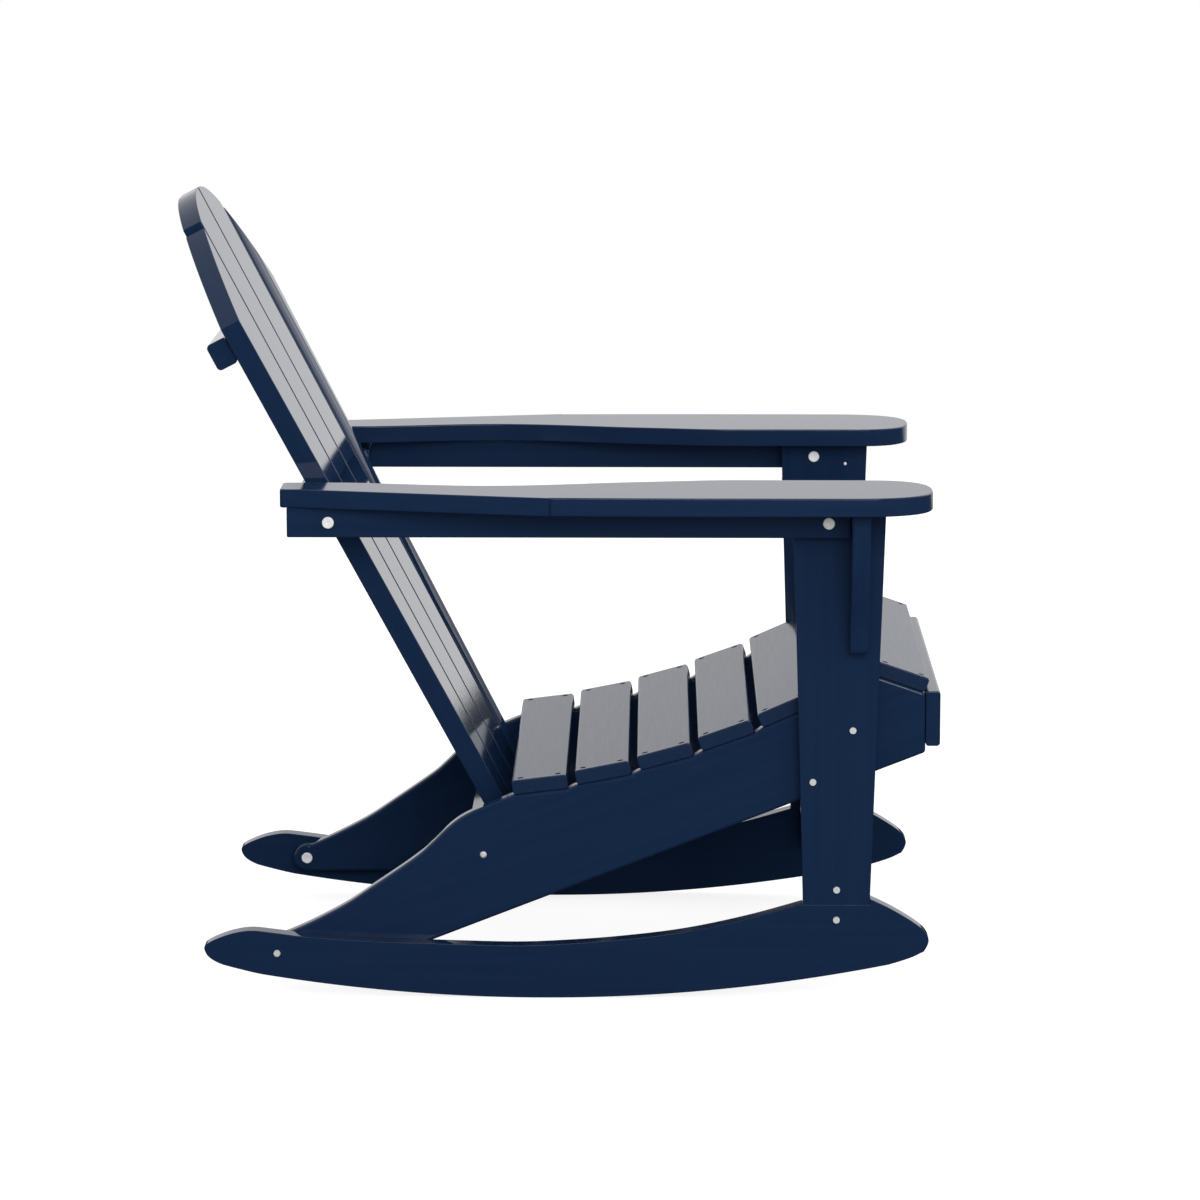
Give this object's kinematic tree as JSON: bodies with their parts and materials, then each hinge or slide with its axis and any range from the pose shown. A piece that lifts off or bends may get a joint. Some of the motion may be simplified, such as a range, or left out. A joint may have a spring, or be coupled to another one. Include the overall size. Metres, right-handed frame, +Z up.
{
  "type": "outdoor rocking chair",
  "caption": "Outdoor rocking chair of recycled-plastic boards: slatted contoured seat, fan-shaped arched back, broad flat arms and curved rockers.",
  "frame": {"origin": "on the floor, under the centre of the chair's bounding box", "axes": "+Z up; the chair faces -Y; +X is the sitter's left"},
  "size_m": [0.7434, 0.9287, 0.9546],
  "materials": {
    "lumber": "navy polyethylene boards, coloured through, fine embossed grain",
    "steel_fasteners": "plain stainless steel",
    "dark_screws": "screws with navy coated heads"
  },
  "bodies": {
    "root": {"rocker_left": "lumber", "rocker_right": "lumber", "front_leg_left": "lumber", "front_leg_right": "lumber", "joint_plate_left": "lumber", "joint_plate_right": "lumber", "seat_rail_left": "lumber", "seat_rail_right": "lumber", "seat_slat_1": "lumber", "seat_slat_2": "lumber", "seat_slat_3": "lumber", "seat_slat_4": "lumber", "seat_slat_5": "lumber", "seat_slat_6": "lumber", "seat_slat_7": "lumber", "front_apron": "lumber", "back_slat_1": "lumber", "back_slat_2": "lumber", "back_slat_3": "lumber", "back_slat_4": "lumber", "upper_back_rail": "lumber", "cross_rail": "lumber", "lower_back_rail": "lumber", "arm_rail_left": "lumber", "arm_rail_right": "lumber", "armrest_left": "lumber", "armrest_right": "lumber", "arm_bracket_left": "lumber", "arm_bracket_right": "lumber", "seat_screws": "dark_screws", "apron_screws": "dark_screws", "upper_rail_screws": "steel_fasteners", "cross_rail_screws": "steel_fasteners", "lower_rail_screws": "steel_fasteners", "armrest_screws": "steel_fasteners", "bracket_screws": "steel_fasteners", "front_arm_bolts": "steel_fasteners", "front_arm_nuts": "steel_fasteners", "rear_arm_bolts": "steel_fasteners", "lower_rail_bolts": "steel_fasteners", "leg_bolts": "steel_fasteners", "leg_nuts": "steel_fasteners", "rocker_bolts": "steel_fasteners", "rocker_nuts": "steel_fasteners", "plate_bolts": "steel_fasteners", "plate_nuts": "steel_fasteners"}
  },
  "joints": []
}
